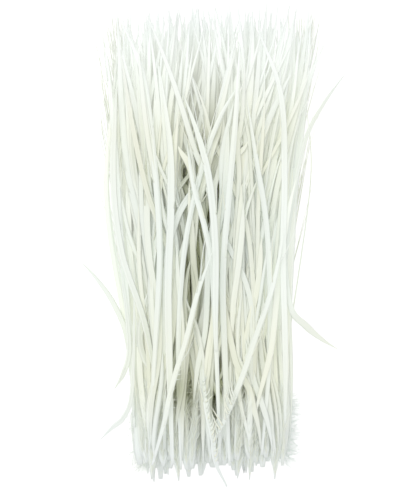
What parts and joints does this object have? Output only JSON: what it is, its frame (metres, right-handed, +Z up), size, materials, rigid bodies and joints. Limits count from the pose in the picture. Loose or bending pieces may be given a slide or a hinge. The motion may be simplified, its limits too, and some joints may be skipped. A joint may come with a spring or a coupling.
{
  "type": "bunch of slender white feathers",
  "caption": "Bunch of long, slender, stripped white feathers lying flat, quill ends together and pointed tips fanning out, for craft, millinery and trimming.",
  "frame": {"origin": "middle of the bunch's box on the surface that it lies on", "axes": "+Y along the feathers towards their tips, +X across the bunch, +Z up from the surface"},
  "size_m": [0.1006, 0.1758, 0.0245],
  "materials": {
    "shaded_ivory": "satin",
    "ivory": "satin",
    "white": "satin"
  },
  "bodies": {
    "root": {"bottom_lock_01": "shaded_ivory", "bottom_lock_02": "shaded_ivory", "bottom_lock_03": "shaded_ivory", "bottom_lock_04": "shaded_ivory", "bottom_lock_05": "shaded_ivory", "bottom_lock_06": "shaded_ivory", "bottom_lock_07": "shaded_ivory", "bottom_lock_08": "shaded_ivory", "bottom_lock_09": "shaded_ivory", "bottom_lock_10": "shaded_ivory", "bottom_lock_11": "shaded_ivory", "bottom_lock_12": "shaded_ivory", "upper_lock_01": "ivory", "upper_lock_02": "ivory", "upper_lock_03": "ivory", "upper_lock_04": "ivory", "upper_lock_05": "ivory", "upper_lock_06": "ivory", "upper_lock_07": "ivory", "upper_lock_08": "ivory", "upper_lock_09": "ivory", "upper_lock_10": "ivory", "upper_lock_11": "ivory", "upper_lock_12": "ivory", "upper_lock_13": "ivory", "upper_lock_14": "ivory", "upper_lock_15": "ivory", "upper_lock_16": "ivory", "upper_lock_17": "ivory", "upper_lock_18": "ivory", "upper_lock_19": "ivory", "upper_lock_20": "ivory", "upper_lock_21": "ivory", "upper_lock_22": "ivory", "upper_lock_23": "ivory", "upper_lock_24": "ivory", "upper_lock_25": "ivory", "upper_lock_26": "ivory", "upper_lock_27": "ivory", "upper_lock_28": "ivory", "upper_lock_29": "ivory", "left_flare_feather": "white", "upper_left_feather": "white", "upper_right_feather": "white", "top_stray_feather": "white", "right_stray_feather": "white", "left_stray_feather": "white", "left_low_stray_feather": "white", "swept_feather": "white", "slim_feather": "white", "right_edge_feather": "white", "left_long_feather": "white", "left_broad_feather": "white", "right_long_feather": "white", "right_leaning_feather": "white", "crossing_feather": "white", "centre_feather": "white", "left_diagonal_feather": "white", "right_diagonal_feather": "white", "low_curved_feather": "white"}
  },
  "joints": []
}
